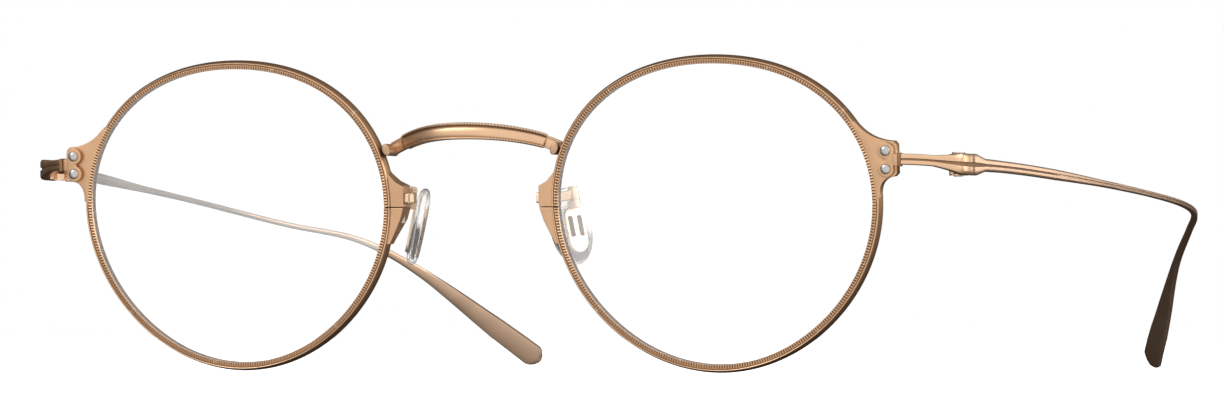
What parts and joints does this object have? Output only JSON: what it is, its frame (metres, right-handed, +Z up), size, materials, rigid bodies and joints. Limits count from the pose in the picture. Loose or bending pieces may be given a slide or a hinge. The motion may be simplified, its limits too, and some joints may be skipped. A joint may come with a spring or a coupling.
{
  "type": "eyeglasses",
  "caption": "Round wire-rim metal eyeglasses with clear lenses, an arched bridge, swivelling nose pads and folding temples with flattened metal tips.",
  "frame": {"origin": "on the table under the middle of the open glasses, where the rims and the temple tips rest", "axes": "+X to the wearer's left, -Y the way the lenses face, +Z up"},
  "size_m": [0.1528, 0.1468, 0.0431],
  "materials": {
    "rim_metal": "satin rose gold plated metal with a milled edge",
    "frame_metal": "satin rose gold plated metal",
    "temple_metal": "satin rose gold plated metal",
    "rivet_metal": "polished silver",
    "screw_metal": "turned steel",
    "pad_metal": "pale gold plated",
    "pad_clear": "clear silicone",
    "lens_clear": "clear, coated"
  },
  "bodies": {
    "front": {"bridge": "frame_metal", "rim_left": "rim_metal", "lens_left": "lens_clear", "rim_lock_upper_left": "frame_metal", "rim_lock_lower_left": "frame_metal", "rim_screw_left": "screw_metal", "end_piece_left": "frame_metal", "end_piece_rivets_left": "rivet_metal", "hinge_front_leaf_left": "frame_metal", "hinge_screw_left": "screw_metal", "pad_arm_left": "pad_metal", "rim_right": "rim_metal", "lens_right": "lens_clear", "rim_lock_upper_right": "frame_metal", "rim_lock_lower_right": "frame_metal", "rim_screw_right": "screw_metal", "end_piece_right": "frame_metal", "end_piece_rivets_right": "rivet_metal", "hinge_front_leaf_right": "frame_metal", "hinge_screw_right": "screw_metal", "pad_arm_right": "pad_metal"},
    "temple_arm_left": {"temple_left": "temple_metal", "hinge_rear_leaf_left": "frame_metal"},
    "pad_unit_left": {"nose_pad_left": "pad_clear", "pad_core_left": "pad_metal"},
    "temple_arm_right": {"temple_right": "temple_metal", "hinge_rear_leaf_right": "frame_metal"},
    "pad_unit_right": {"nose_pad_right": "pad_clear", "pad_core_right": "pad_metal"}
  },
  "joints": [
    {"name": "temple_fold_left", "type": "hinge", "parent": "front", "child": "temple_arm_left", "pos_m": [0.0667, -0.05947, 0.0282], "axis": [0, 0, 1], "range_deg": [0, 86]},
    {"name": "temple_fold_right", "type": "hinge", "parent": "front", "child": "temple_arm_right", "pos_m": [-0.0667, -0.05947, 0.0282], "axis": [0, 0, -1], "range_deg": [0, 83]},
    {"name": "pad_swivel_left", "type": "hinge", "parent": "front", "child": "pad_unit_left", "pos_m": [0.01216, -0.06326, 0.02444], "axis": [-0.2147, 0, 0.9767], "range_deg": [-7, 7]},
    {"name": "pad_swivel_right", "type": "hinge", "parent": "front", "child": "pad_unit_right", "pos_m": [-0.01216, -0.06326, 0.02444], "axis": [0.2147, 0, 0.9767], "range_deg": [-7, 7]}
  ]
}
